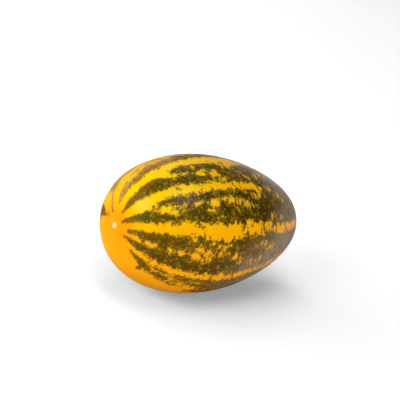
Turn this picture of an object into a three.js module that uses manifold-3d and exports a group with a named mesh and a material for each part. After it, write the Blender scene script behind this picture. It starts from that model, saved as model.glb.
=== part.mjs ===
// Sambar cucumber: one egg-shaped fruit lying on its side.
//
// Units are millimetres and +Z is up. The fruit lies along X, with its blunt blossom end towards
// -X and its tapered stem end towards +X. The origin is on the ground, under the middle of the
// fruit's bounding box.

import * as THREE from 'three';
import { mergeVertices } from 'three/addons/utils/BufferGeometryUtils.js';
import Module from 'manifold-3d';

// Driving dimensions.
const fruitLength = 140; // from the blossom pole to the stem pole
const middleRadius = 41.8; // radius halfway between the poles
const fullness = [1, 0.175, 0.01, 0.05, 0.12]; // how the radius departs from an ellipse, see profileRadius
const lobeCount = 3; // a cucumber has three seed chambers, and each swells the skin a little
const lobeHeight = 0.3;
const lobeTurn = THREE.MathUtils.degToRad(15); // the first lobe, as an angle round the fruit from its top
const stemScarDepth = 1.6; // the hollow that the stalk left
const stemScarRadius = 6;
const restTilt = THREE.MathUtils.degToRad(5.1); // the blossom end is this much higher than the stem end
const restSpotDepth = 0.9; // how much the skin is flattened where the fruit lies on the ground

// Facets.
const stepsAlong = 44;
const stepsAround = 64;

// Colours.
const skinColour = 0xe0a010;

// Radius of the plain egg at an angle that runs from 0 at the blossom pole to pi at the stem pole.
// The sine alone would make an ellipse. The sum makes the blossom half fuller than the stem half.
function profileRadius(angle) {
  const cosine = Math.cos(angle);
  const swell = fullness.reduce((sum, weight, power) => sum + weight * cosine ** power, 0);
  return middleRadius * Math.sin(angle) * swell;
}

// Place along the fruit's own axis, measured from its middle, with the hollow at the stem pole.
function profileHeight(angle) {
  const plain = -0.5 * fruitLength * Math.cos(angle);
  const isStemHalf = angle > Math.PI / 2;
  const hollow = stemScarDepth * Math.exp(-((profileRadius(angle) / stemScarRadius) ** 2));
  return isStemHalf ? plain - hollow : plain;
}

// The profile from pole to pole, for turning about the fruit's own axis.
function profilePoints() {
  const points = [];
  for (let step = 0; step <= stepsAlong; step += 1) {
    const angle = (Math.PI * step) / stepsAlong;
    const isPole = step === 0 || step === stepsAlong;
    points.push(new THREE.Vector2(isPole ? 0 : profileRadius(angle), profileHeight(angle)));
  }
  return points;
}

// Swells the turned body into its lobes. They fade out towards the poles.
function addLobes(geometry) {
  const position = geometry.attributes.position;
  for (let index = 0; index < position.count; index += 1) {
    const x = position.getX(index);
    const z = position.getZ(index);
    const radius = Math.hypot(x, z);
    const turn = Math.atan2(x, z) - lobeTurn;
    const swell = (lobeHeight / middleRadius) * Math.cos(lobeCount * turn);
    const scale = 1 + swell * (radius / middleRadius);
    position.setX(index, x * scale);
    position.setZ(index, z * scale);
  }
}

// Merges the vertices that neighbouring facets share, so that the skin is one closed surface.
function sealed(geometry) {
  const bare = geometry.clone();
  bare.deleteAttribute('normal');
  bare.deleteAttribute('uv');
  return mergeVertices(bare);
}

const wasm = await Module();
wasm.setup();

function toSolid(geometry) {
  const closed = sealed(geometry);
  return new wasm.Manifold(new wasm.Mesh({
    numProp: 3,
    vertProperties: Float32Array.from(closed.attributes.position.array),
    triVerts: Uint32Array.from(closed.index.array),
  }));
}

function toGeometry(solid) {
  const mesh = solid.getMesh();
  const geometry = new THREE.BufferGeometry();
  geometry.setAttribute('position', new THREE.BufferAttribute(mesh.vertProperties, 3));
  geometry.setIndex(new THREE.BufferAttribute(mesh.triVerts, 1));
  geometry.computeVertexNormals();
  return geometry;
}

// Lays the fruit down along X in its rest attitude, with the middle of its box over the origin and
// its lowest point below the ground by the depth of the rest spot.
function layDown(geometry) {
  geometry.rotateZ(-Math.PI / 2);
  geometry.rotateY(restTilt);
  geometry.computeBoundingBox();
  const middle = geometry.boundingBox.getCenter(new THREE.Vector3());
  geometry.translate(-middle.x, -middle.y, -geometry.boundingBox.min.z - restSpotDepth);
}

// A block that holds everything below the ground.
function groundBlock() {
  const side = 2 * fruitLength;
  return new THREE.BoxGeometry(side, side, side).translate(0, 0, -side / 2);
}

function makeFruit() {
  const body = new THREE.LatheGeometry(profilePoints(), stepsAround);
  addLobes(body);
  layDown(body);
  const geometry = toGeometry(toSolid(body).subtract(toSolid(groundBlock())));
  const skin = new THREE.MeshStandardMaterial({ color: skinColour, roughness: 0.4, metalness: 0 });
  const fruit = new THREE.Mesh(geometry, skin);
  fruit.name = 'fruit';
  return fruit;
}

const sambarCucumber = new THREE.Group();
sambarCucumber.add(makeFruit());

export default sambarCucumber;
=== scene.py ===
"""The looks of a ripe sambar cucumber that lies on a pale floor.

Everything is in metres in the part's own frame: +X runs along the fruit from its blunt blossom end
to its tapered stem end, and +Z is up. A place on the skin is given by two numbers. "Along" is the
distance over the skin from the blossom pole, in millimetres. "Turn" is the angle round the fruit, in
degrees: 0 is the crown, 90 the side that faces the camera, 180 the underside.
"""

import math

import bpy
import numpy as np
from mathutils import Matrix, Vector


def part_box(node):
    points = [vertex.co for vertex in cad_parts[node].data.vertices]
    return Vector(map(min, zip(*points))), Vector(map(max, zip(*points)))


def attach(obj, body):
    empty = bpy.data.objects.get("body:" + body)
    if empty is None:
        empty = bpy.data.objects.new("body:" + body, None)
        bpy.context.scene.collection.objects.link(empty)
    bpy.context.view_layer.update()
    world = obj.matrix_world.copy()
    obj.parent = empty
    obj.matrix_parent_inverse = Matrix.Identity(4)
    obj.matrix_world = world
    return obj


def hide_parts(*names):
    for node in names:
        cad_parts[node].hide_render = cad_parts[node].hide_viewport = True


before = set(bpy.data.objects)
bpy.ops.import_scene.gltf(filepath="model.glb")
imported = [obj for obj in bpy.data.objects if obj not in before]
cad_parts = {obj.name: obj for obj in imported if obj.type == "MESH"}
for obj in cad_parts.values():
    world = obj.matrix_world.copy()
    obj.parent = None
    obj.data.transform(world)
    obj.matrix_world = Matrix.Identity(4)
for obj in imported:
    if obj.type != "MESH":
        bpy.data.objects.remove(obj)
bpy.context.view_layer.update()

MM = 0.001

# The egg, as in the CAD model.
FRUIT_LENGTH = 140 * MM
MIDDLE_RADIUS = 41.8 * MM
FULLNESS = (1, 0.175, 0.01, 0.05, 0.12)
LOBE_COUNT = 3
LOBE_HEIGHT = 0.3 * MM
LOBE_TURN = math.radians(15)
STEM_HOLLOW_DEPTH = 1.6 * MM
STEM_HOLLOW_RADIUS = 6 * MM
REST_TILT = math.radians(5.1)
REST_SPOT_DEPTH = 0.9 * MM
REST_SPOT_BLEND = 0.1 * MM  # softens the edge of the flat spot

# The mesh.
RINGS = 250
STEPS_AROUND = 320
POLE_CROWDING = 0.7  # 0 spaces the rings evenly, and near 1 they crowd together at both poles

# Scars at the two ends.
BLOSSOM_SCAR_RADIUS = 1.9 * MM
BLOSSOM_SCAR_HEIGHT = 0.5 * MM
BLOSSOM_EDGE_STEEPNESS = 6
BLOSSOM_PIT_RADIUS = BLOSSOM_SCAR_RADIUS / 3
BLOSSOM_PIT_DEPTH = 0.6 * BLOSSOM_SCAR_HEIGHT
BLOSSOM_COLOUR_EDGE = (2.4, 1.5)  # mm from the pole, from none of the dry colour to all of it
STEM_SCAR_RADIUS = 4.6 * MM
STEM_RIM_HEIGHT = 0.5 * MM
STEM_RIM_WIDTH = 0.16 * STEM_SCAR_RADIUS
STEM_DISC_HEIGHT = 0.25 * MM
STEM_EDGE_STEEPNESS = 10
STEM_VESSEL_COUNT = 10  # corky bumps where the stalk's vessels broke off
STEM_VESSEL_HEIGHT = 0.3 * MM
STEM_VESSEL_RING_RADIUS = 0.55 * STEM_SCAR_RADIUS
STEM_VESSEL_RING_WIDTH = 0.14 * STEM_SCAR_RADIUS
STEM_COLOUR_EDGE = (5.9, 4.9)  # mm from the pole, from none of the cork's colour to all of it

# The green stripes, drawn one by one. Each strand runs towards the stem end through a few points,
# (along, turn, half width), in mm, degrees and degrees. Strands that lie close make one stripe.
STRANDS = (
    ((9, -44, 4.5), (15, -46, 4), (22, -47, 4), (26, -50, 10), (45, -47, 10), (60, -44, 12),
     (177, -46, 16)),
    ((32, -35, 1), (46, -34, 3), (100, -38, 8), (177, -38, 11)),
    ((8, -72, 3), (12, -70, 2.5)),
    ((12, -82, 4), (17, -86, 9), (24, -92, 13), (45, -96, 8), (177, -100, 12)),
    ((36, -82, 1), (50, -82, 4), (100, -82, 8), (177, -80, 12)),
    ((14, -17, 4), (18, -17, 7), (28, -15, 9.5), (40, -14, 11), (60, -13, 10.5), (80, -13, 10),
     (100, -11, 9), (115, -6, 9), (177, -4, 11)),
    ((60, -24, 2), (80, -22, 6), (177, -16, 12)),
    ((50, 11, 4), (54, 10, 5.5), (60, 12, 5), (70, 12, 4.5), (80, 14, 5.5), (97, 14, 6), (112, 10, 9),
     (177, 8, 14)),
    ((10, 13, 4), (14, 14, 7), (24, 15, 8.5), (32, 16, 9.5), (40, 19, 8), (46, 22, 5), (52, 22.5, 6),
     (60, 24.5, 5.5), (76, 26.5, 4), (82, 24.5, 6), (105, 23.5, 7), (115, 25, 11), (177, 22, 14)),
    ((29, 41, 1), (36, 41.5, 4), (50, 43, 6), (75, 43, 6), (90, 45, 7), (105, 46, 8), (115, 43, 11),
     (177, 40, 13)),
    ((6.5, 47, 6), (9, 48, 8), (14, 51, 8), (20, 53, 9), (30, 54.5, 9.5), (36, 56, 7.5), (45, 55.5, 7.5),
     (57, 55, 9), (70, 56, 10), (92, 55, 10), (107, 57, 9), (116, 58, 10), (135, 55, 12), (177, 48, 13)),
    ((11.5, 82, 6), (16, 84.5, 9), (28, 86, 10), (34, 85, 9.5), (58, 85, 8), (66, 87, 7), (80, 88, 8),
     (92, 85, 8), (110, 86, 11), (135, 87, 11), (177, 87, 12)),
    ((9, 107, 3), (15, 101, 9.5), (25, 99.5, 11), (36, 101, 10), (60, 102, 9.5), (80, 102, 10),
     (100, 99, 12), (177, 98, 14)),
    ((18, 123, 2), (23, 124, 4.5), (33, 125, 6.5), (46, 124.5, 6), (60, 123, 5.5), (80, 127, 8),
     (100, 128, 11), (177, 126, 13)),
    ((66, 139, 1), (76, 139, 5), (100, 143, 9), (177, 148, 12)),
    ((44, -128, 1), (54, -130, 6), (100, -134, 8), (177, -136, 12)),
    ((70, -120, 1), (84, -120, 4), (177, -118, 11)),
    ((88, 174, 1), (100, 174, 5), (177, 176, 11)),
    ((76, -162, 1), (90, -163, 5), (177, -164, 11)),
)

# Yellow islands in the green, (along, turn, half length, half width), in mm, degrees, mm and mm.
ISLANDS = (
    (64, 10.5, 1.5, 2), (67.5, 20, 3, 1.6), (76, 23, 2.5, 1.4), (79, 28, 3, 1.4), (88, 11, 4.5, 3),
    (99, 23, 2, 0.6), (114, 20, 3, 1.2), (34.5, 48, 4, 2.2), (40, 53, 2.5, 1), (47, 48.5, 3, 1),
    (56, 48.5, 5, 1.1), (67, 48.5, 3, 2.2), (80, 47, 5.5, 1.7), (65, 54.5, 1.5, 0.8), (71, 60, 1.5, 0.8),
    (83, 55, 1.5, 0.8), (93, 50, 2, 0.7), (104, 41, 3, 1.4), (118, 60, 2, 1.2), (129, 40, 4, 1.2),
    (17.5, 92, 4, 1.5), (27.5, 93, 4, 1.3), (40, 93, 2.4, 2), (46.5, 93, 2.2, 2.2), (52.5, 79, 1.6, 1.4),
    (56, 95, 2.6, 1.8), (57, 88, 1.8, 0.9), (64.5, 93.5, 3.8, 3.4), (68, 82, 3, 0.8), (74, 85, 3, 0.8),
    (74, 92, 3, 1.3), (85.5, 95, 2.4, 1.7), (92, 100, 1.6, 1), (104, 101, 2, 1), (110, 102, 1.5, 2.6),
    (111, 86, 4, 1), (36, 124, 1.6, 0.8), (42, 122, 2, 0.8), (50, 124, 2.4, 0.7), (58, 126, 3, 0.7),
    (67, 124, 2.4, 0.6), (33, -19, 4, 1.2), (43, -20, 5, 1.6), (52, -17, 5, 1.4), (63, -19, 5, 1.6),
    (74, -15, 5, 1.2), (60, -48, 7, 2), (78, -46, 5, 2.4), (96, -48, 4, 1.6), (58, -90, 8, 2),
    (84, -92, 5, 2.2), (98, -125, 6, 2), (119, 15.5, 2.4, 1), (120, 32, 2, 0.9), (127, 63, 1.6, 1),
    (117, 90.5, 1.8, 0.9),
)

# Green specks in the yellow, given in the same way. The last few are bars across the fading stripe.
SPECKS = (
    (41.5, 64, 2.4, 0.9), (51, 73.5, 1.1, 0.7), (56.5, 67, 1.8, 0.8), (48, 30, 2, 0.6), (72, 37, 3, 0.6),
    (65, 93, 1.1, 0.9), (87, 33, 1.4, 0.8), (88.5, 70, 1, 1.2), (29, 135, 1.6, 3), (47, 132, 6, 0.8),
    (95, 67.5, 0.9, 2.4), (105, 75, 0.8, 1.6), (108.5, 69, 1, 3.4), (116.5, 67, 1.4, 3),
    (113.5, 76, 1, 1.4),
)
CLEAREST_ISLAND = 1.6  # mm inside an island's edge; it counts as no deeper, so some green grains stay

# Distances in mm from a stripe's edge level off towards these, so that the roughening can put a few
# stray flecks anywhere.
DEEPEST_GREEN = 3.3
DEEPEST_GREEN_AT_STEM = 5.5
DEEPEST_YELLOW = 3.6
STEM_SIDE = (70, 115)  # mm along; the green closes up between these

# Young green near the blossom end is a lighter tan. It stays so further along behind the crown, where
# its paleness is partly a painted sheen.
YOUNG_END = 9  # mm along
YOUNG_END_BEHIND_CROWN = 62  # mm along
YOUNG_FADE = 10  # mm
YOUNG_TURN = math.radians(-20)
YOUNG_WIDTH = math.radians(37)

# The two darkest stripes, on opposite sides of the fruit.
DARKEST_TURN = math.radians(48)

# Where the skin ripens to lemon yellow rather than orange.
LEMON_TURN = math.radians(18)

# Blender's noise mostly lies between 0.25 and 0.75. This spreads it to about -1 to 1.
NOISE_SPREAD = 4.0

# How the stripes' edges are roughened. A reach is how far an edge moves, in mm.
CALM_EDGES = 0.2  # share of the roughening near the blossom pole
BUSY_EDGES = 1.1  # share of it everywhere else
WANDER_REACH = 1.4
TEETH_REACH = 4.6  # teeth that grow out of the stripes on the stem side
TEETH_STRETCH = (1, 0.45, 0.45)  # draws them out round the fruit
FINE_GRAIN_REACH = 0.9
COARSE_GRAIN_REACH = 0.7
STRIPE_EDGE_BLUR = 0.85  # mm either side of an edge over which green gives way to yellow

# How far each layer of colour covers what is under it, from 0 to 1.
FADED_AND_SHEEN_COVER = 0.85
DULL_COVER = 0.5
RUST_COVER = 0.8
MOSS_COVER_ON_GROUND_SIDE = 0.55
MOSS_COVER_ON_SUNNY_SIDE = 0.9
DARK_COVER = 0.6
DARK_COVER_ON_DARKEST = 1.0
DARK_GRAIN_COVER = 0.4
GROUND_BROWN_COVER = 0.7
YOUNG_COVER = 0.85
BLOOM_AND_SHEEN_COVER = 0.9
BLOOM_AND_SHEEN_COVER_AT_STEM = 0.45
GOLD_COVER = 0.6

# The dusty bloom, whose pale grey is partly a painted sheen, begins and is full at these distances
# along, in mm, plus a lag that is longest on the two darkest stripes. The skin's real sheen follows them
# too.
BLOOM_AND_SHEEN_RANGE = (47, 106)
BLOOM_AND_SHEEN_LAG = 60
LEAST_BLOOM_AND_SHEEN_LAG = 0.35  # share of that lag that all other stripes have at least

# The surface of the skin.
ROUGHNESS = 0.33
ROUGHNESS_WANDER = 0.05
SPECULAR_LEVEL = 0.04
BLOOM_SHEEN = 0.35
SHEEN_ROUGHNESS = 0.4
SHEEN_TINT = (1.0, 0.92, 0.86, 1.0)
DIMPLE_STRENGTH = 0.15
DIMPLE_DEPTH = 0.05 * MM

# Camera: where it stands as seen from the fruit, and how the picture is rolled.
CAMERA_AZIMUTH = math.radians(-42.48)
CAMERA_ELEVATION = math.radians(22.0)
CAMERA_ROLL = math.radians(11.56)
CAMERA_DISTANCE = 1.227
SENSOR_WIDTH = 36.0
FOCAL_LENGTH = 180.0
AIM_RIGHT = -2.34 * MM  # the fruit is a little right of the picture's middle and below it
AIM_UP = 12.2 * MM

# Lamps, (name, azimuth, elevation, width, power), in degrees, degrees, metres and watts. The soft
# boxes give the diffuse light, and only the catch lights show in the skin's reflections.
LAMP_DISTANCE = 1.4
SOFT_BOXES = (
    ("back_left", -150, 7, 0.8, 10.8),
    ("back", 180, 22, 0.8, 4.3),
    ("left_back", -120, 17, 0.8, 5.6),
    ("left", -85, 32, 0.8, 8.0),
    ("front", -8, 11, 0.8, 6.8),
    ("front_right", 30, 14, 0.8, 4.1),
    ("back_right", 150, 50, 0.8, 2.7),
    ("top", -15, 76, 0.8, 3.5),
    ("top_back", 180, 70, 0.8, 1.7),
)
CATCH_LIGHTS = (
    ("catch_left", -98, 35, 0.3, 18.0),
    ("catch_right", 10, 66, 0.8, 26.0),
    ("catch_back", 150, 50, 0.8, 4.0),
)

# The room that the skin mirrors: dark on the camera's side, and bright on the far side.
NEAR_SURROUNDINGS = 0.03
FAR_SURROUNDINGS = 0.8

# The floor. Its glow lifts what the camera sees of it to white, and dims close to the fruit: a painted
# contact shadow.
FLOOR_HALF_WIDTH = 3.0
FLOOR_IN_REFLECTIONS = 0.2  # how bright it is where the skin mirrors it
FLOOR_GLOW = 0.26
PAINTED_SHADOW_REACH = 30 * MM  # how far from the fruit the painted contact shadow in the glow reaches
PAINTED_SHADOW_DEPTH = 0.3  # share of the glow lost right under the fruit: how dark the painted contact shadow is


def srgb(red, green, blue):
    """A colour as a screen shows it, 0 to 255 a channel, as the linear RGBA that shaders take."""
    def linear(channel):
        share = channel / 255
        return share / 12.92 if share <= 0.04045 else ((share + 0.055) / 1.055) ** 2.4
    return (linear(red), linear(green), linear(blue), 1.0)


# ---------------------------------------------------------------- shape


def profile(angle):
    """Axial place and radius of the plain egg. The angle runs from 0 at the blossom pole to pi."""
    cosine = np.cos(angle)
    swell = sum(weight * cosine ** power for power, weight in enumerate(FULLNESS))
    return -0.5 * FRUIT_LENGTH * cosine, MIDDLE_RADIUS * np.sin(angle) * swell


def ring_angles():
    """Angles of the rings, both poles included, crowded together towards the poles."""
    share = np.linspace(0, 1, RINGS)
    return math.pi * (share - POLE_CROWDING * np.sin(2 * math.pi * share) / (2 * math.pi))


def plateau(distance, radius, steepness):
    """1 inside the radius and 0 outside it, with an edge that is sharper the greater the steepness."""
    return 1 / (1 + (distance / radius) ** steepness)


def hill(offset, width, power=2):
    """1 at no offset, falling to 0 on both sides. A greater even power gives it a flatter top."""
    return np.exp(-((offset / width) ** power))


def wave(angle):
    """A wave between 0 and 1, with a crest where the angle is 0."""
    return 0.5 + 0.5 * np.cos(angle)


def blossom_scar(radius):
    """Height of the small dry button at the blossom pole, with the pit in its middle."""
    button = BLOSSOM_SCAR_HEIGHT * plateau(radius, BLOSSOM_SCAR_RADIUS, BLOSSOM_EDGE_STEEPNESS)
    return button - BLOSSOM_PIT_DEPTH * hill(radius, BLOSSOM_PIT_RADIUS)


def stem_scar(radius, turn):
    """Height of the corky disc at the stem pole: a raised rim and a ring of broken vessels."""
    disc = STEM_DISC_HEIGHT * plateau(radius, STEM_SCAR_RADIUS, STEM_EDGE_STEEPNESS)
    rim = STEM_RIM_HEIGHT * hill(radius - STEM_SCAR_RADIUS, STEM_RIM_WIDTH)
    vessel_ring = STEM_VESSEL_HEIGHT * hill(radius - STEM_VESSEL_RING_RADIUS, STEM_VESSEL_RING_WIDTH)
    return disc + rim + vessel_ring * wave(STEM_VESSEL_COUNT * turn)


class Skin:
    """The fine skin as arrays of rings by steps around: where each point is on the plain egg."""

    def __init__(self):
        axial, radius = profile(ring_angles())
        steps = np.hypot(np.diff(axial), np.diff(radius))
        along = np.concatenate(([0.0], np.cumsum(steps)))
        turn = np.linspace(0, 2 * math.pi, STEPS_AROUND, endpoint=False)
        self.full_along = along[-1]
        self.axial, self.turn = np.meshgrid(axial, turn, indexing="ij")
        self.radius = np.meshgrid(radius, turn, indexing="ij")[0]
        self.along = np.meshgrid(along, turn, indexing="ij")[0]

    def shaped(self):
        """Axial place and radius with the lobes, the stem hollow and both scars."""
        hollow = STEM_HOLLOW_DEPTH * hill(self.radius, STEM_HOLLOW_RADIUS)
        stem_end = stem_scar(self.radius, self.turn) - hollow
        axial = self.axial + np.where(self.axial > 0, stem_end, -blossom_scar(self.radius))
        swell = (LOBE_HEIGHT / MIDDLE_RADIUS) * np.cos(LOBE_COUNT * (self.turn - LOBE_TURN))
        return axial, self.radius * (1 + swell * self.radius / MIDDLE_RADIUS)

    def points(self):
        """Points in the part's frame, in the rest attitude, over the middle of the CAD node's box."""
        axial, radius = self.shaped()
        up = radius * np.cos(self.turn)
        x = axial * math.cos(REST_TILT) + up * math.sin(REST_TILT)
        y = -radius * np.sin(self.turn)
        z = up * math.cos(REST_TILT) - axial * math.sin(REST_TILT)
        points = np.stack((x, y, z), axis=-1)
        low, high = points.min(axis=(0, 1)), points.max(axis=(0, 1))
        node_low, node_high = (np.array(corner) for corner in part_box("fruit"))
        shift = 0.5 * (node_low + node_high) - 0.5 * (low + high)
        shift[2] = node_low[2] - low[2] - REST_SPOT_DEPTH
        points += shift
        height = points[..., 2] - node_low[2]
        points[..., 2] = node_low[2] + 0.5 * (height + np.hypot(height, REST_SPOT_BLEND))
        return points


# ---------------------------------------------------------------- markings


def sideways(skin, turn_degrees):
    """Distance in mm round the fruit from a turn, which may be one number or one for each point."""
    offset = np.degrees(skin.turn) - turn_degrees
    wrapped = (offset + 180) % 360 - 180
    return np.radians(wrapped) * skin.radius / MM


def strand_depth(skin, strand):
    """Distance in mm inside a strand's edge, negative outside it."""
    along = skin.along / MM
    stations, turns, half_widths = np.array(strand, dtype=float).T
    nearest = np.clip(along, stations[0], stations[-1])
    turn = np.interp(nearest, stations, turns)
    half_width = np.radians(np.interp(nearest, stations, half_widths)) * skin.radius / MM
    return half_width - np.hypot(sideways(skin, turn), along - nearest)


def island_gap(skin, island):
    """Distance in mm outside an island's edge, negative inside it."""
    along, turn, half_length, half_width = island
    reach = np.hypot((skin.along / MM - along) / half_length, sideways(skin, turn) / half_width)
    return np.maximum((reach - 1) * half_width, -CLEAREST_ISLAND)


def band_depth(skin):
    """Distance in mm inside the stripes as if they had no islands, negative outside them."""
    return np.max([strand_depth(skin, strand) for strand in STRANDS], axis=0)


def stripe_depth(skin):
    """Distance in mm inside the green, negative in the yellow, levelling off far from an edge."""
    gap = np.min([island_gap(skin, island) for island in ISLANDS], axis=0)
    speck = -np.min([island_gap(skin, speck) for speck in SPECKS], axis=0)
    inside = np.maximum(np.minimum(band_depth(skin), gap), speck)
    deepest_green = np.interp(skin.along / MM, STEM_SIDE, (DEEPEST_GREEN, DEEPEST_GREEN_AT_STEM))
    limit = np.where(inside > 0, deepest_green, DEEPEST_YELLOW)
    return limit * np.tanh(inside / limit)


def lemon_share(skin):
    """1 where the skin is lemon yellow, on the sunny side, and 0 on the orange ground side."""
    return wave(skin.turn - LEMON_TURN)


def young_share(skin):
    """1 where green skin is young and tan, and 0 where it is fully green."""
    offset = (skin.turn - YOUNG_TURN + math.pi) % (2 * math.pi) - math.pi
    behind_crown = hill(offset, YOUNG_WIDTH, power=4)
    end = YOUNG_END + (YOUNG_END_BEHIND_CROWN - YOUNG_END) * behind_crown
    return np.clip((end - skin.along / MM) / YOUNG_FADE + 0.5, 0, 1)


def darkest_share(skin):
    """1 along the two darkest stripes, and 0 halfway between them."""
    return wave(2 * (skin.turn - DARKEST_TURN))


# ---------------------------------------------------------------- mesh


def without_repeats(rings):
    """Flattens rings by steps into one row for each vertex: a pole, the rings between, a pole."""
    between = rings[1:-1].reshape(-1, *rings.shape[2:])
    return np.concatenate((rings[:1, 0], between, rings[-1:, 0]))


def skin_faces():
    """Each face's corners as (vertex number, ring, step), with the seam's last step not wrapped."""
    pole_ring = RINGS - 1
    last_ring = pole_ring - 1
    pole = 1 + last_ring * STEPS_AROUND

    def corner(ring, step):
        vertex = 1 + (ring - 1) * STEPS_AROUND + step % STEPS_AROUND
        return vertex, ring, step

    faces = []
    for step in range(STEPS_AROUND):
        between = step + 0.5
        after = step + 1
        faces.append(((0, 0, between), corner(1, after), corner(1, step)))
        for ring in range(1, last_ring):
            near_side = (corner(ring, step), corner(ring, after))
            far_side = (corner(ring + 1, after), corner(ring + 1, step))
            faces.append(near_side + far_side)
        faces.append(((pole, pole_ring, between), corner(last_ring, step), corner(last_ring, after)))
    return faces


def add_bake_map(mesh, faces, ring_shares):
    """A map of the skin that a texture bake can fill edge to edge: turn across it and along up it."""
    places = [(step / STEPS_AROUND, ring_shares[ring]) for face in faces for _, ring, step in face]
    layer = mesh.uv_layers.new(name="OFBake")
    layer.uv.foreach_set("vector", np.array(places, dtype=np.float32).ravel())


def add_markings(mesh, skin):
    """Stores on each vertex what the material needs to know about its place."""
    markings = {
        "stripe": stripe_depth(skin),
        "band": band_depth(skin),
        "along": skin.along / MM,
        "from_stem": (skin.full_along - skin.along) / MM,
        "lemon": lemon_share(skin),
        "young": young_share(skin),
        "darkest": darkest_share(skin),
    }
    for name, values in markings.items():
        attribute = mesh.attributes.new(name, "FLOAT", "POINT")
        attribute.data.foreach_set("value", without_repeats(values).astype(np.float32))


def make_fruit():
    """The whole fruit as one mesh, with its markings but no material yet."""
    skin = Skin()
    mesh = bpy.data.meshes.new("cucumber")
    faces = skin_faces()
    vertex_faces = [[vertex for vertex, _, _ in face] for face in faces]
    mesh.from_pydata(without_repeats(skin.points()).tolist(), [], vertex_faces)
    mesh.shade_smooth()
    add_bake_map(mesh, faces, skin.along[:, 0] / skin.full_along)
    add_markings(mesh, skin)
    fruit = bpy.data.objects.new("cucumber", mesh)
    fruit.visible_diffuse = False  # no orange bounce on the floor: its shadow stays a neutral grey
    bpy.context.scene.collection.objects.link(fruit)
    return fruit


# ---------------------------------------------------------------- materials


class Recipe:
    """The nodes of a material or a world, written as formulas."""

    def __init__(self, owner):
        owner.use_nodes = True
        self.tree = owner.node_tree
        self.tree.nodes.clear()

    def add(self, kind, inputs, **settings):
        """A new node. Each input is given as a value or as the output of another node."""
        node = self.tree.nodes.new(kind)
        for name, value in settings.items():
            setattr(node, name, value)
        for name, value in inputs.items():
            if isinstance(value, bpy.types.NodeSocket):
                self.tree.links.new(value, node.inputs[name])
            else:
                node.inputs[name].default_value = value
        return node

    def attribute(self, name):
        return self.add("ShaderNodeAttribute", {}, attribute_name=name).outputs["Fac"]

    def math(self, operation, first, second=0.0, third=0.0):
        inputs = {0: first, 1: second, 2: third}
        return self.add("ShaderNodeMath", inputs, operation=operation).outputs[0]

    def product(self, *factors):
        total = factors[0]
        for factor in factors[1:]:
            total = self.math("MULTIPLY", total, factor)
        return total

    def sum(self, *terms):
        total = terms[0]
        for term in terms[1:]:
            total = self.math("ADD", total, term)
        return total

    def pushed(self, value, noise, reach):
        """The value, pushed up and down by a noise, by up to about the reach."""
        return self.math("MULTIPLY_ADD", noise, reach, value)

    def between(self, share, first, second):
        """The first number where share is 0, and the second where it is 1."""
        return self.math("MULTIPLY_ADD", share, second - first, first)

    def ramp(self, value, low, high):
        """Rises smoothly from 0 at low to 1 at high. It falls where high is below low."""
        inputs = {"Value": value, "From Min": low, "From Max": high}
        return self.add("ShaderNodeMapRange", inputs, interpolation_type="SMOOTHSTEP").outputs["Result"]

    def mix(self, share, first, second):
        """The first colour where share is 0, and the second where it is 1."""
        node = self.add("ShaderNodeMix", {0: share, 6: first, 7: second}, data_type="RGBA")
        return node.outputs[2]

    def object_mm(self, stretch=(1, 1, 1)):
        """The place on the object in mm, shrunk along an axis whose stretch is below 1."""
        place = self.add("ShaderNodeTexCoord", {}).outputs["Object"]
        scale = [share / MM for share in stretch]
        return self.add("ShaderNodeVectorMath", {0: place, 1: scale}, operation="MULTIPLY").outputs[0]

    def stirred(self, place, size, reach):
        """The place, pushed about by a noise of a size in mm, by up to about reach mm."""
        inputs = {"Vector": place, "Scale": 1 / size, "Detail": 2.0}
        colour = self.add("ShaderNodeTexNoise", inputs).outputs["Color"]
        less_middle = {0: colour, 1: (0.5, 0.5, 0.5)}
        push = self.add("ShaderNodeVectorMath", less_middle, operation="SUBTRACT").outputs[0]
        pushed_place = {0: push, 1: (NOISE_SPREAD * reach,) * 3, 2: place}
        return self.add("ShaderNodeVectorMath", pushed_place, operation="MULTIPLY_ADD").outputs[0]

    def noise(self, place, size, detail=3.0, roughness=0.5):
        """Noise between about -1 and 1, with features of a size in mm."""
        inputs = {"Vector": place, "Scale": 1 / size, "Detail": detail, "Roughness": roughness}
        plain = self.add("ShaderNodeTexNoise", inputs).outputs["Fac"]
        return self.math("MULTIPLY_ADD", plain, NOISE_SPREAD, -0.5 * NOISE_SPREAD)

    def grains(self, place, size):
        """A random value between -1 and 1 for each grain of a size in mm."""
        colour = self.add("ShaderNodeTexVoronoi", {"Vector": place, "Scale": 1 / size}).outputs["Color"]
        random_share = self.add("ShaderNodeSeparateColor", {0: colour}).outputs[0]
        return self.between(random_share, -1.0, 1.0)


def roughened_depth(recipe, place):
    """Depth in mm inside the green, once the stripes' edges are ragged and granular as real ones are."""
    along = recipe.attribute("along")
    stripe = recipe.attribute("stripe")
    busy = recipe.between(recipe.ramp(along, 5, 42), CALM_EDGES, BUSY_EDGES)
    wander = recipe.noise(place, size=6, detail=4, roughness=0.66)
    stem_side = recipe.ramp(along, 45, 125)
    near_edge = recipe.ramp(stripe, 2.8, 0.6)
    across = recipe.object_mm(stretch=TEETH_STRETCH)
    teeth = recipe.noise(across, size=2.1, detail=2)
    stirred = recipe.stirred(place, size=1.6, reach=0.6)
    fine = recipe.grains(stirred, size=1.2)
    coarse = recipe.grains(stirred, size=2.2)
    return recipe.sum(
        stripe,
        recipe.product(wander, busy, WANDER_REACH),
        recipe.product(teeth, stem_side, near_edge, TEETH_REACH),
        recipe.product(fine, busy, FINE_GRAIN_REACH),
        recipe.product(coarse, busy, COARSE_GRAIN_REACH),
    )


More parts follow.
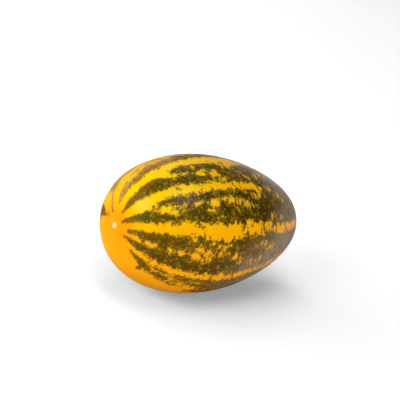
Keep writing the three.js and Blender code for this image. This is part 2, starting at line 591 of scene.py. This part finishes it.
def ripe_colour(recipe, along, lemon):
    """Orange at the blossom pole, amber on the ground side and lemon on the sunny side."""
    pole_orange = srgb(245, 153, 0)
    ground_orange = srgb(255, 165, 0)
    amber = srgb(250, 176, 2)
    lemon_yellow = srgb(251, 201, 0)
    flank = recipe.mix(recipe.ramp(lemon, 0.2, 0.7), ground_orange, amber)
    blossom_side = recipe.mix(recipe.ramp(lemon, 0.78, 0.98), flank, lemon_yellow)
    body = recipe.mix(recipe.ramp(along, 50, 120), blossom_side, flank)
    return recipe.mix(recipe.ramp(along, 5, 24), pole_orange, body)


def faded_and_sheen_colour(recipe, along, lemon):
    """What the yellow turns to near the stem end: salmon, then coral, and olive gold on the crown. Their
    pale, greyish lift is partly a painted sheen.
    """
    # their blue lift stands in part for a painted sheen of bright surroundings
    salmon = srgb(255, 186, 86)
    coral = srgb(255, 152, 94)
    olive_gold = srgb(206, 174, 84)
    flank = recipe.mix(recipe.ramp(along, 132, 156), salmon, coral)
    return recipe.mix(recipe.ramp(lemon, 0.82, 0.96), flank, olive_gold)


def dull_colour(recipe, along, lemon):
    """The yellow of the islands inside the stripes."""
    dull_orange = srgb(214, 148, 30)
    dull_lemon = srgb(226, 184, 42)
    dull_stem_side = srgb(188, 162, 76)
    front = recipe.mix(recipe.ramp(lemon, 0.4, 0.9), dull_orange, dull_lemon)
    return recipe.mix(recipe.ramp(along, 80, 120), front, dull_stem_side)


def yellow_colour(recipe, place):
    """Ripe skin, faded and with a painted sheen near the stem end, and dull inside a stripe."""
    along = recipe.attribute("along")
    lemon = recipe.pushed(recipe.attribute("lemon"), recipe.noise(place, size=12), 0.05)
    faded_and_sheen_share = recipe.product(recipe.ramp(along, 116, 150), FADED_AND_SHEEN_COVER)
    ripe = ripe_colour(recipe, along, lemon)
    whole = recipe.mix(faded_and_sheen_share, ripe, faded_and_sheen_colour(recipe, along, lemon))
    ragged = recipe.noise(place, size=2.2, detail=3, roughness=0.6)
    in_stripe = recipe.ramp(recipe.sum(recipe.attribute("band"), ragged), 0.3, 2.6)
    dull = dull_colour(recipe, along, lemon)
    return recipe.mix(recipe.product(in_stripe, DULL_COVER), whole, dull)


def stem_nearness(recipe):
    """Distance along the skin in mm, less the lag of the bloom and of its painted sheen."""
    lag_share = recipe.math("MAXIMUM", recipe.attribute("darkest"), LEAST_BLOOM_AND_SHEEN_LAG)
    return recipe.math("MULTIPLY_ADD", lag_share, -BLOOM_AND_SHEEN_LAG, recipe.attribute("along"))


class GreenFields:
    """What the layers of the green share: where a place is, and noises of several sizes."""

    def __init__(self, recipe, place, depth):
        self.depth = depth
        self.along = recipe.attribute("along")
        self.lemon = recipe.attribute("lemon")
        self.sunny = recipe.ramp(self.lemon, 0.55, 0.9)
        self.clouds = recipe.noise(place, size=8)
        self.patches = recipe.noise(place, size=3, detail=4, roughness=0.65)
        self.blotches = recipe.noise(place, size=2, roughness=0.6)
        self.grain = recipe.grains(recipe.stirred(place, size=1.2, reach=0.5), size=1.25)
        self.mottled_depth = recipe.pushed(depth, self.patches, 1.8)


def leafy_colour(recipe, fields):
    """Olive green with brown edges."""
    ground_edge = srgb(140, 86, 4)
    lemon_edge = srgb(144, 106, 10)
    side_olive = srgb(112, 80, 12)
    lemon_olive = srgb(114, 90, 12)
    edge = recipe.mix(fields.sunny, ground_edge, lemon_edge)
    olive = recipe.mix(fields.sunny, side_olive, lemon_olive)
    return recipe.mix(recipe.ramp(fields.mottled_depth, -0.2, 1.2), edge, olive)


def with_rust(recipe, fields, skin):
    """Rusty blotches, and past the middle of the fruit a rusty fringe along the edges."""
    rust = srgb(134, 58, 2)
    blotch = recipe.ramp(fields.blotches, 0.1, 1.0)
    edge = recipe.ramp(fields.depth, 1.2, 0.2)
    fringe = recipe.product(edge, recipe.ramp(fields.along, 50, 90))
    share = recipe.math("MAXIMUM", blotch, fringe)
    return recipe.mix(recipe.product(share, RUST_COVER), skin, rust)


def with_moss(recipe, fields, skin):
    """Clouds of mossy green."""
    moss = srgb(84, 86, 8)
    share = recipe.ramp(recipe.sum(fields.clouds, fields.blotches), 0.2, -0.9)
    cover = recipe.between(fields.sunny, MOSS_COVER_ON_GROUND_SIDE, MOSS_COVER_ON_SUNNY_SIDE)
    return recipe.mix(recipe.product(share, cover), skin, moss)


def with_dark_middle(recipe, fields, skin):
    """A nearly black middle in each stripe, most of all in the two darkest."""
    dark = srgb(62, 46, 0)
    darkest_stripe = recipe.ramp(recipe.attribute("darkest"), 0.72, 0.95)
    darkest = recipe.product(darkest_stripe, recipe.ramp(fields.along, 45, 72))
    cover = recipe.between(darkest, DARK_COVER, DARK_COVER_ON_DARKEST)
    deep = recipe.ramp(fields.mottled_depth, 1.0, 3.0)
    grown = recipe.ramp(fields.along, 0, 45)
    return recipe.mix(recipe.product(deep, grown, cover), skin, dark)


def with_shadowy_grains(recipe, fields, skin):
    """Fine dark grains."""
    shadowy = srgb(64, 42, 2)
    share = recipe.ramp(fields.grain, 0.2, 0.9)
    return recipe.mix(recipe.product(share, DARK_GRAIN_COVER), skin, shadowy)


def with_ground_brown(recipe, fields, skin):
    """Browner towards the ground."""
    ground_brown = srgb(136, 90, 6)
    share = recipe.ramp(recipe.pushed(fields.lemon, fields.clouds, -0.08), 0.55, 0.2)
    return recipe.mix(recipe.product(share, GROUND_BROWN_COVER), skin, ground_brown)


def with_young_tan_and_sheen(recipe, fields, skin):
    """Tan where the green is young, or brown on the sunniest side. Behind the crown the pale tan is
    partly a painted sheen.
    """
    # pale tan, lifted in part to paint the sheen along the top edge behind the crown
    young_tan_and_sheen = srgb(212, 156, 80)
    young_brown = srgb(142, 88, 18)
    patchy = recipe.ramp(fields.patches, -0.9, 0.7)
    share = recipe.product(recipe.attribute("young"), patchy, YOUNG_COVER)
    young_skin = recipe.mix(recipe.ramp(fields.lemon, 0.9, 1.0), young_tan_and_sheen, young_brown)
    return recipe.mix(share, skin, young_skin)


def with_rusty_tips(recipe, fields, skin):
    """Rusty at the tips of the stripes, round the blossom pole."""
    rusty_tip = srgb(136, 54, 4)
    return recipe.mix(recipe.ramp(fields.along, 13, 9), skin, rusty_tip)


def with_bloom_and_painted_sheen(recipe, fields, skin):
    """The dusty bloom of the stem side, partly real bloom and partly painted sheen, thinner right at the
    stem end.
    """
    # a pale grey that is partly a painted sheen of bright surroundings over the dark skin
    dusty_bloom_and_sheen = srgb(160, 138, 116)
    cloudy_nearness = recipe.pushed(stem_nearness(recipe), fields.clouds, 10.0)
    patchy = recipe.ramp(fields.patches, -0.95, 0.2)
    cover = recipe.between(recipe.ramp(fields.along, 140, 162), BLOOM_AND_SHEEN_COVER, BLOOM_AND_SHEEN_COVER_AT_STEM)
    share = recipe.product(recipe.ramp(cloudy_nearness, *BLOOM_AND_SHEEN_RANGE), patchy, cover)
    return recipe.mix(share, skin, dusty_bloom_and_sheen)


def with_gold_flecks(recipe, fields, skin):
    """Small flecks of gold."""
    gold = srgb(188, 154, 38)
    share = recipe.ramp(recipe.pushed(fields.grain, fields.blotches, 0.9), -0.6, -1.3)
    return recipe.mix(recipe.product(share, GOLD_COVER), skin, gold)


# What lies over the leafy green, from the bottom layer to the top one.
GREEN_LAYERS = (
    with_rust,
    with_moss,
    with_dark_middle,
    with_shadowy_grains,
    with_ground_brown,
    with_young_tan_and_sheen,
    with_rusty_tips,
    with_bloom_and_painted_sheen,
    with_gold_flecks,
)


def green_colour(recipe, place, depth):
    fields = GreenFields(recipe, place, depth)
    skin = leafy_colour(recipe, fields)
    for with_layer in GREEN_LAYERS:
        skin = with_layer(recipe, fields, skin)
    return skin


def with_blossom_scar(recipe, place, skin):
    """A pale dry button at the blossom pole."""
    dry = srgb(250, 196, 138)
    ragged = recipe.noise(place, size=1.5)
    from_pole = recipe.pushed(recipe.attribute("along"), ragged, 0.3)
    return recipe.mix(recipe.ramp(from_pole, *BLOSSOM_COLOUR_EDGE), skin, dry)


def with_stem_scar(recipe, place, skin):
    """A disc of pale cork with darker cracks, where the stalk broke off."""
    cork = srgb(196, 162, 112)
    crack = srgb(112, 82, 48)
    cracked = recipe.ramp(recipe.noise(place, size=0.9, detail=4, roughness=0.7), 0.1, 0.9)
    disc = recipe.mix(cracked, cork, crack)
    ragged = recipe.noise(place, size=1.5)
    from_pole = recipe.pushed(recipe.attribute("from_stem"), ragged, 0.4)
    return recipe.mix(recipe.ramp(from_pole, *STEM_COLOUR_EDGE), skin, disc)


def skin_colour(recipe, place):
    """Green stripes on yellow skin, and a scar over each pole."""
    depth = roughened_depth(recipe, place)
    in_green = recipe.ramp(depth, -STRIPE_EDGE_BLUR, STRIPE_EDGE_BLUR)
    yellow = yellow_colour(recipe, place)
    green = green_colour(recipe, place, depth)
    striped = recipe.mix(in_green, yellow, green)
    scarred = with_blossom_scar(recipe, place, striped)
    return with_stem_scar(recipe, place, scarred)


def bloom_sheen(recipe):
    """How strongly the dusty bloom shines at a grazing angle. It is only on the sunny side."""
    sunny = recipe.ramp(recipe.attribute("lemon"), 0.3, 0.9)
    in_bloom = recipe.ramp(stem_nearness(recipe), *BLOOM_AND_SHEEN_RANGE)
    return recipe.product(in_bloom, sunny, BLOOM_SHEEN)


def skin_material():
    material = bpy.data.materials.new("cucumber_skin")
    recipe = Recipe(material)
    place = recipe.object_mm()
    dimples = {
        "Height": recipe.noise(place, size=1.6),
        "Strength": DIMPLE_STRENGTH,
        "Distance": DIMPLE_DEPTH,
    }
    shader = recipe.add("ShaderNodeBsdfPrincipled", {
        "Base Color": skin_colour(recipe, place),
        "Roughness": recipe.pushed(ROUGHNESS, recipe.noise(place, size=6, detail=4), ROUGHNESS_WANDER),
        "Normal": recipe.add("ShaderNodeBump", dimples).outputs["Normal"],
        "Specular IOR Level": SPECULAR_LEVEL,
        "Sheen Weight": bloom_sheen(recipe),
        "Sheen Roughness": SHEEN_ROUGHNESS,
        "Sheen Tint": SHEEN_TINT,
    })
    recipe.add("ShaderNodeOutputMaterial", {"Surface": shader.outputs[0]})
    return material


def floor_material():
    """White, with a glow for the camera alone that lifts it to white. It still takes the shadow, and the
    glow dims near the fruit, which paints a contact shadow.
    """
    material = bpy.data.materials.new("floor_white")
    recipe = Recipe(material)
    rays = recipe.add("ShaderNodeLightPath", {})
    white = (1, 1, 1, 1)
    dim = (FLOOR_IN_REFLECTIONS, FLOOR_IN_REFLECTIONS, FLOOR_IN_REFLECTIONS, 1)
    colour = recipe.mix(rays.outputs["Is Glossy Ray"], white, dim)
    diffuse = recipe.add("ShaderNodeBsdfDiffuse", {"Color": colour})
    # ambient occlusion dims the glow near the fruit: a painted contact shadow
    openness = recipe.add("ShaderNodeAmbientOcclusion", {"Distance": PAINTED_SHADOW_REACH}).outputs["AO"]
    glow_left_by_painted_shadow = recipe.between(openness, 1 - PAINTED_SHADOW_DEPTH, 1)
    strength = recipe.product(rays.outputs["Is Camera Ray"], glow_left_by_painted_shadow, FLOOR_GLOW)
    glow = recipe.add("ShaderNodeEmission", {"Strength": strength})
    both = recipe.add("ShaderNodeAddShader", {0: diffuse.outputs[0], 1: glow.outputs[0]})
    recipe.add("ShaderNodeOutputMaterial", {"Surface": both.outputs[0]})
    return material


# ---------------------------------------------------------------- stage


def add_floor():
    half = FLOOR_HALF_WIDTH
    corners = [(-half, -half, 0), (half, -half, 0), (half, half, 0), (-half, half, 0)]
    mesh = bpy.data.meshes.new("floor")
    mesh.from_pydata(corners, [], [(0, 1, 2, 3)])
    mesh.materials.append(floor_material())
    floor = bpy.data.objects.new("floor", mesh)
    bpy.context.scene.collection.objects.link(floor)


def direction(azimuth, elevation):
    """Unit vector from the fruit: azimuth 0 looks from -Y, and elevation is above the floor."""
    level = math.cos(elevation)
    return Vector((math.sin(azimuth) * level, -math.cos(azimuth) * level, math.sin(elevation)))


def add_camera(target):
    """The camera at the photo's angle. Its own axes are right, up and back."""
    back = direction(CAMERA_AZIMUTH, CAMERA_ELEVATION)
    level_right = Vector((0, 0, 1)).cross(back).normalized()
    roll = Matrix.Rotation(CAMERA_ROLL, 3, back)
    right = roll @ level_right
    up = back.cross(right)
    place = target + AIM_RIGHT * right + AIM_UP * up + CAMERA_DISTANCE * back
    data = bpy.data.cameras.new("camera")
    data.sensor_width = SENSOR_WIDTH
    data.lens = FOCAL_LENGTH
    camera = bpy.data.objects.new("camera", data)
    camera.matrix_world = Matrix.Translation(place) @ Matrix((right, up, back)).transposed().to_4x4()
    bpy.context.scene.collection.objects.link(camera)
    bpy.context.scene.camera = camera


def add_lamp(target, name, azimuth, elevation, width, watts):
    data = bpy.data.lights.new(name, "AREA")
    data.shape = "DISK"
    data.size = width
    data.energy = watts
    data.cycles.use_multiple_importance_sampling = False  # keeps its light from passing the fruit
    lamp = bpy.data.objects.new(name, data)
    way = direction(math.radians(azimuth), math.radians(elevation))
    lamp.location = target + LAMP_DISTANCE * way
    lamp.rotation_euler = way.to_track_quat("Z", "Y").to_euler()
    bpy.context.scene.collection.objects.link(lamp)
    return lamp


def surround_scene():
    """The room that the skin's reflections see. It gives no diffuse light: the soft boxes do that."""
    world = bpy.data.worlds.new("studio")
    bpy.context.scene.world = world
    world.cycles_visibility.diffuse = False
    recipe = Recipe(world)
    way = recipe.add("ShaderNodeTexCoord", {}).outputs["Generated"]
    ways = {0: way, 1: -direction(CAMERA_AZIMUTH, 0)}
    farness = recipe.add("ShaderNodeVectorMath", ways, operation="DOT_PRODUCT").outputs["Value"]
    strength = recipe.between(recipe.ramp(farness, 0.5, 1.0), NEAR_SURROUNDINGS, FAR_SURROUNDINGS)
    background = recipe.add("ShaderNodeBackground", {"Strength": strength})
    recipe.add("ShaderNodeOutputWorld", {"Surface": background.outputs[0]})


def light_scene(target):
    """Soft boxes that only light the scene, and catch lights that only show in the skin."""
    for soft_box in SOFT_BOXES:
        add_lamp(target, *soft_box).visible_glossy = False
    for catch_light in CATCH_LIGHTS:
        add_lamp(target, *catch_light).visible_diffuse = False


fruit = make_fruit()
fruit.data.materials.append(skin_material())
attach(fruit, "root")
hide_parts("fruit")

node_low, node_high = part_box("fruit")
middle = 0.5 * (node_low + node_high)
add_floor()
add_camera(middle)
surround_scene()
light_scene(middle)
bpy.context.scene.view_settings.view_transform = "Standard"
